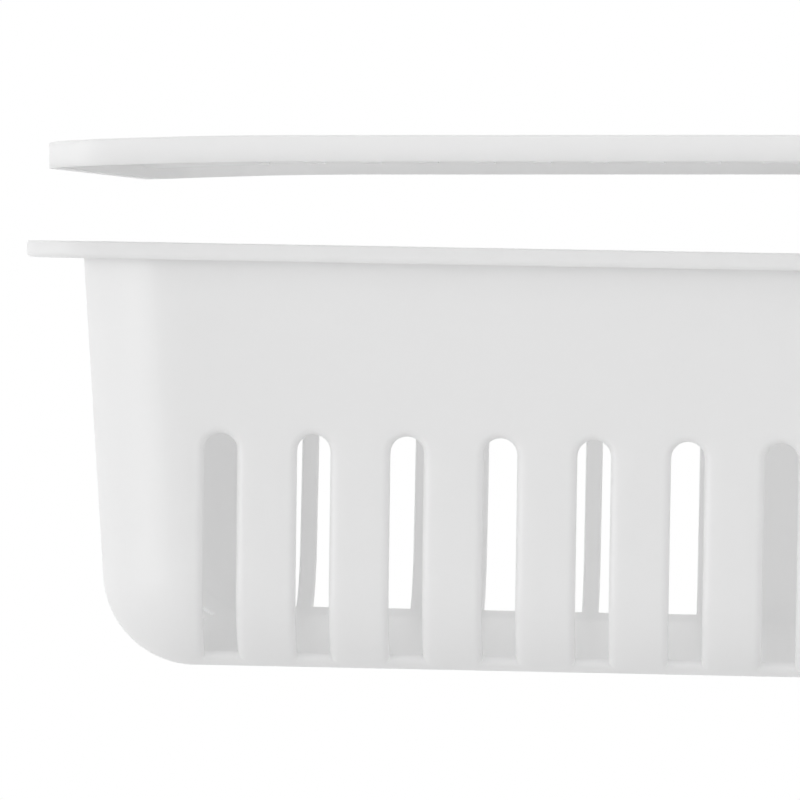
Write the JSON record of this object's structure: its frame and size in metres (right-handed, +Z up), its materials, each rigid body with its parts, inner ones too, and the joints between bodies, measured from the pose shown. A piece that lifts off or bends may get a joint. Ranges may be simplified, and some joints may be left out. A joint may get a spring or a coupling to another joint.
{
  "type": "under-shelf fridge drawer",
  "caption": "Clip-on hanger that slides over the front edge of a fridge shelf, with a slotted basket drawer running in the band under it.",
  "frame": {"origin": "middle of the upper jaw's underside, where the jaw rests on top of the shelf", "axes": "+X is the front, the way the drawer pulls out; +Y is the drawer's right side seen from behind the front; +Z is up"},
  "size_m": [0.2078, 0.155, 0.0764],
  "materials": {
    "hanger_plastic": "satin white moulded polypropylene",
    "drawer_plastic": "satin white moulded polypropylene"
  },
  "bodies": {
    "hanger": {"upper_jaw": "hanger_plastic", "front_spine": "hanger_plastic", "left_cheek": "hanger_plastic", "right_cheek": "hanger_plastic", "left_rail": "hanger_plastic", "right_rail": "hanger_plastic", "back_bar": "hanger_plastic"},
    "drawer": {"left_wall": "drawer_plastic", "right_wall": "drawer_plastic", "back_wall": "drawer_plastic", "front_wall": "drawer_plastic", "floor_panel": "drawer_plastic", "left_runner": "drawer_plastic", "right_runner": "drawer_plastic", "front_lip": "drawer_plastic", "back_lip": "drawer_plastic"}
  },
  "joints": [
    {"name": "drawer_slide", "type": "slide", "parent": "hanger", "child": "drawer", "axis": [1, 0, 0], "range_m": [0, 0.14]}
  ]
}
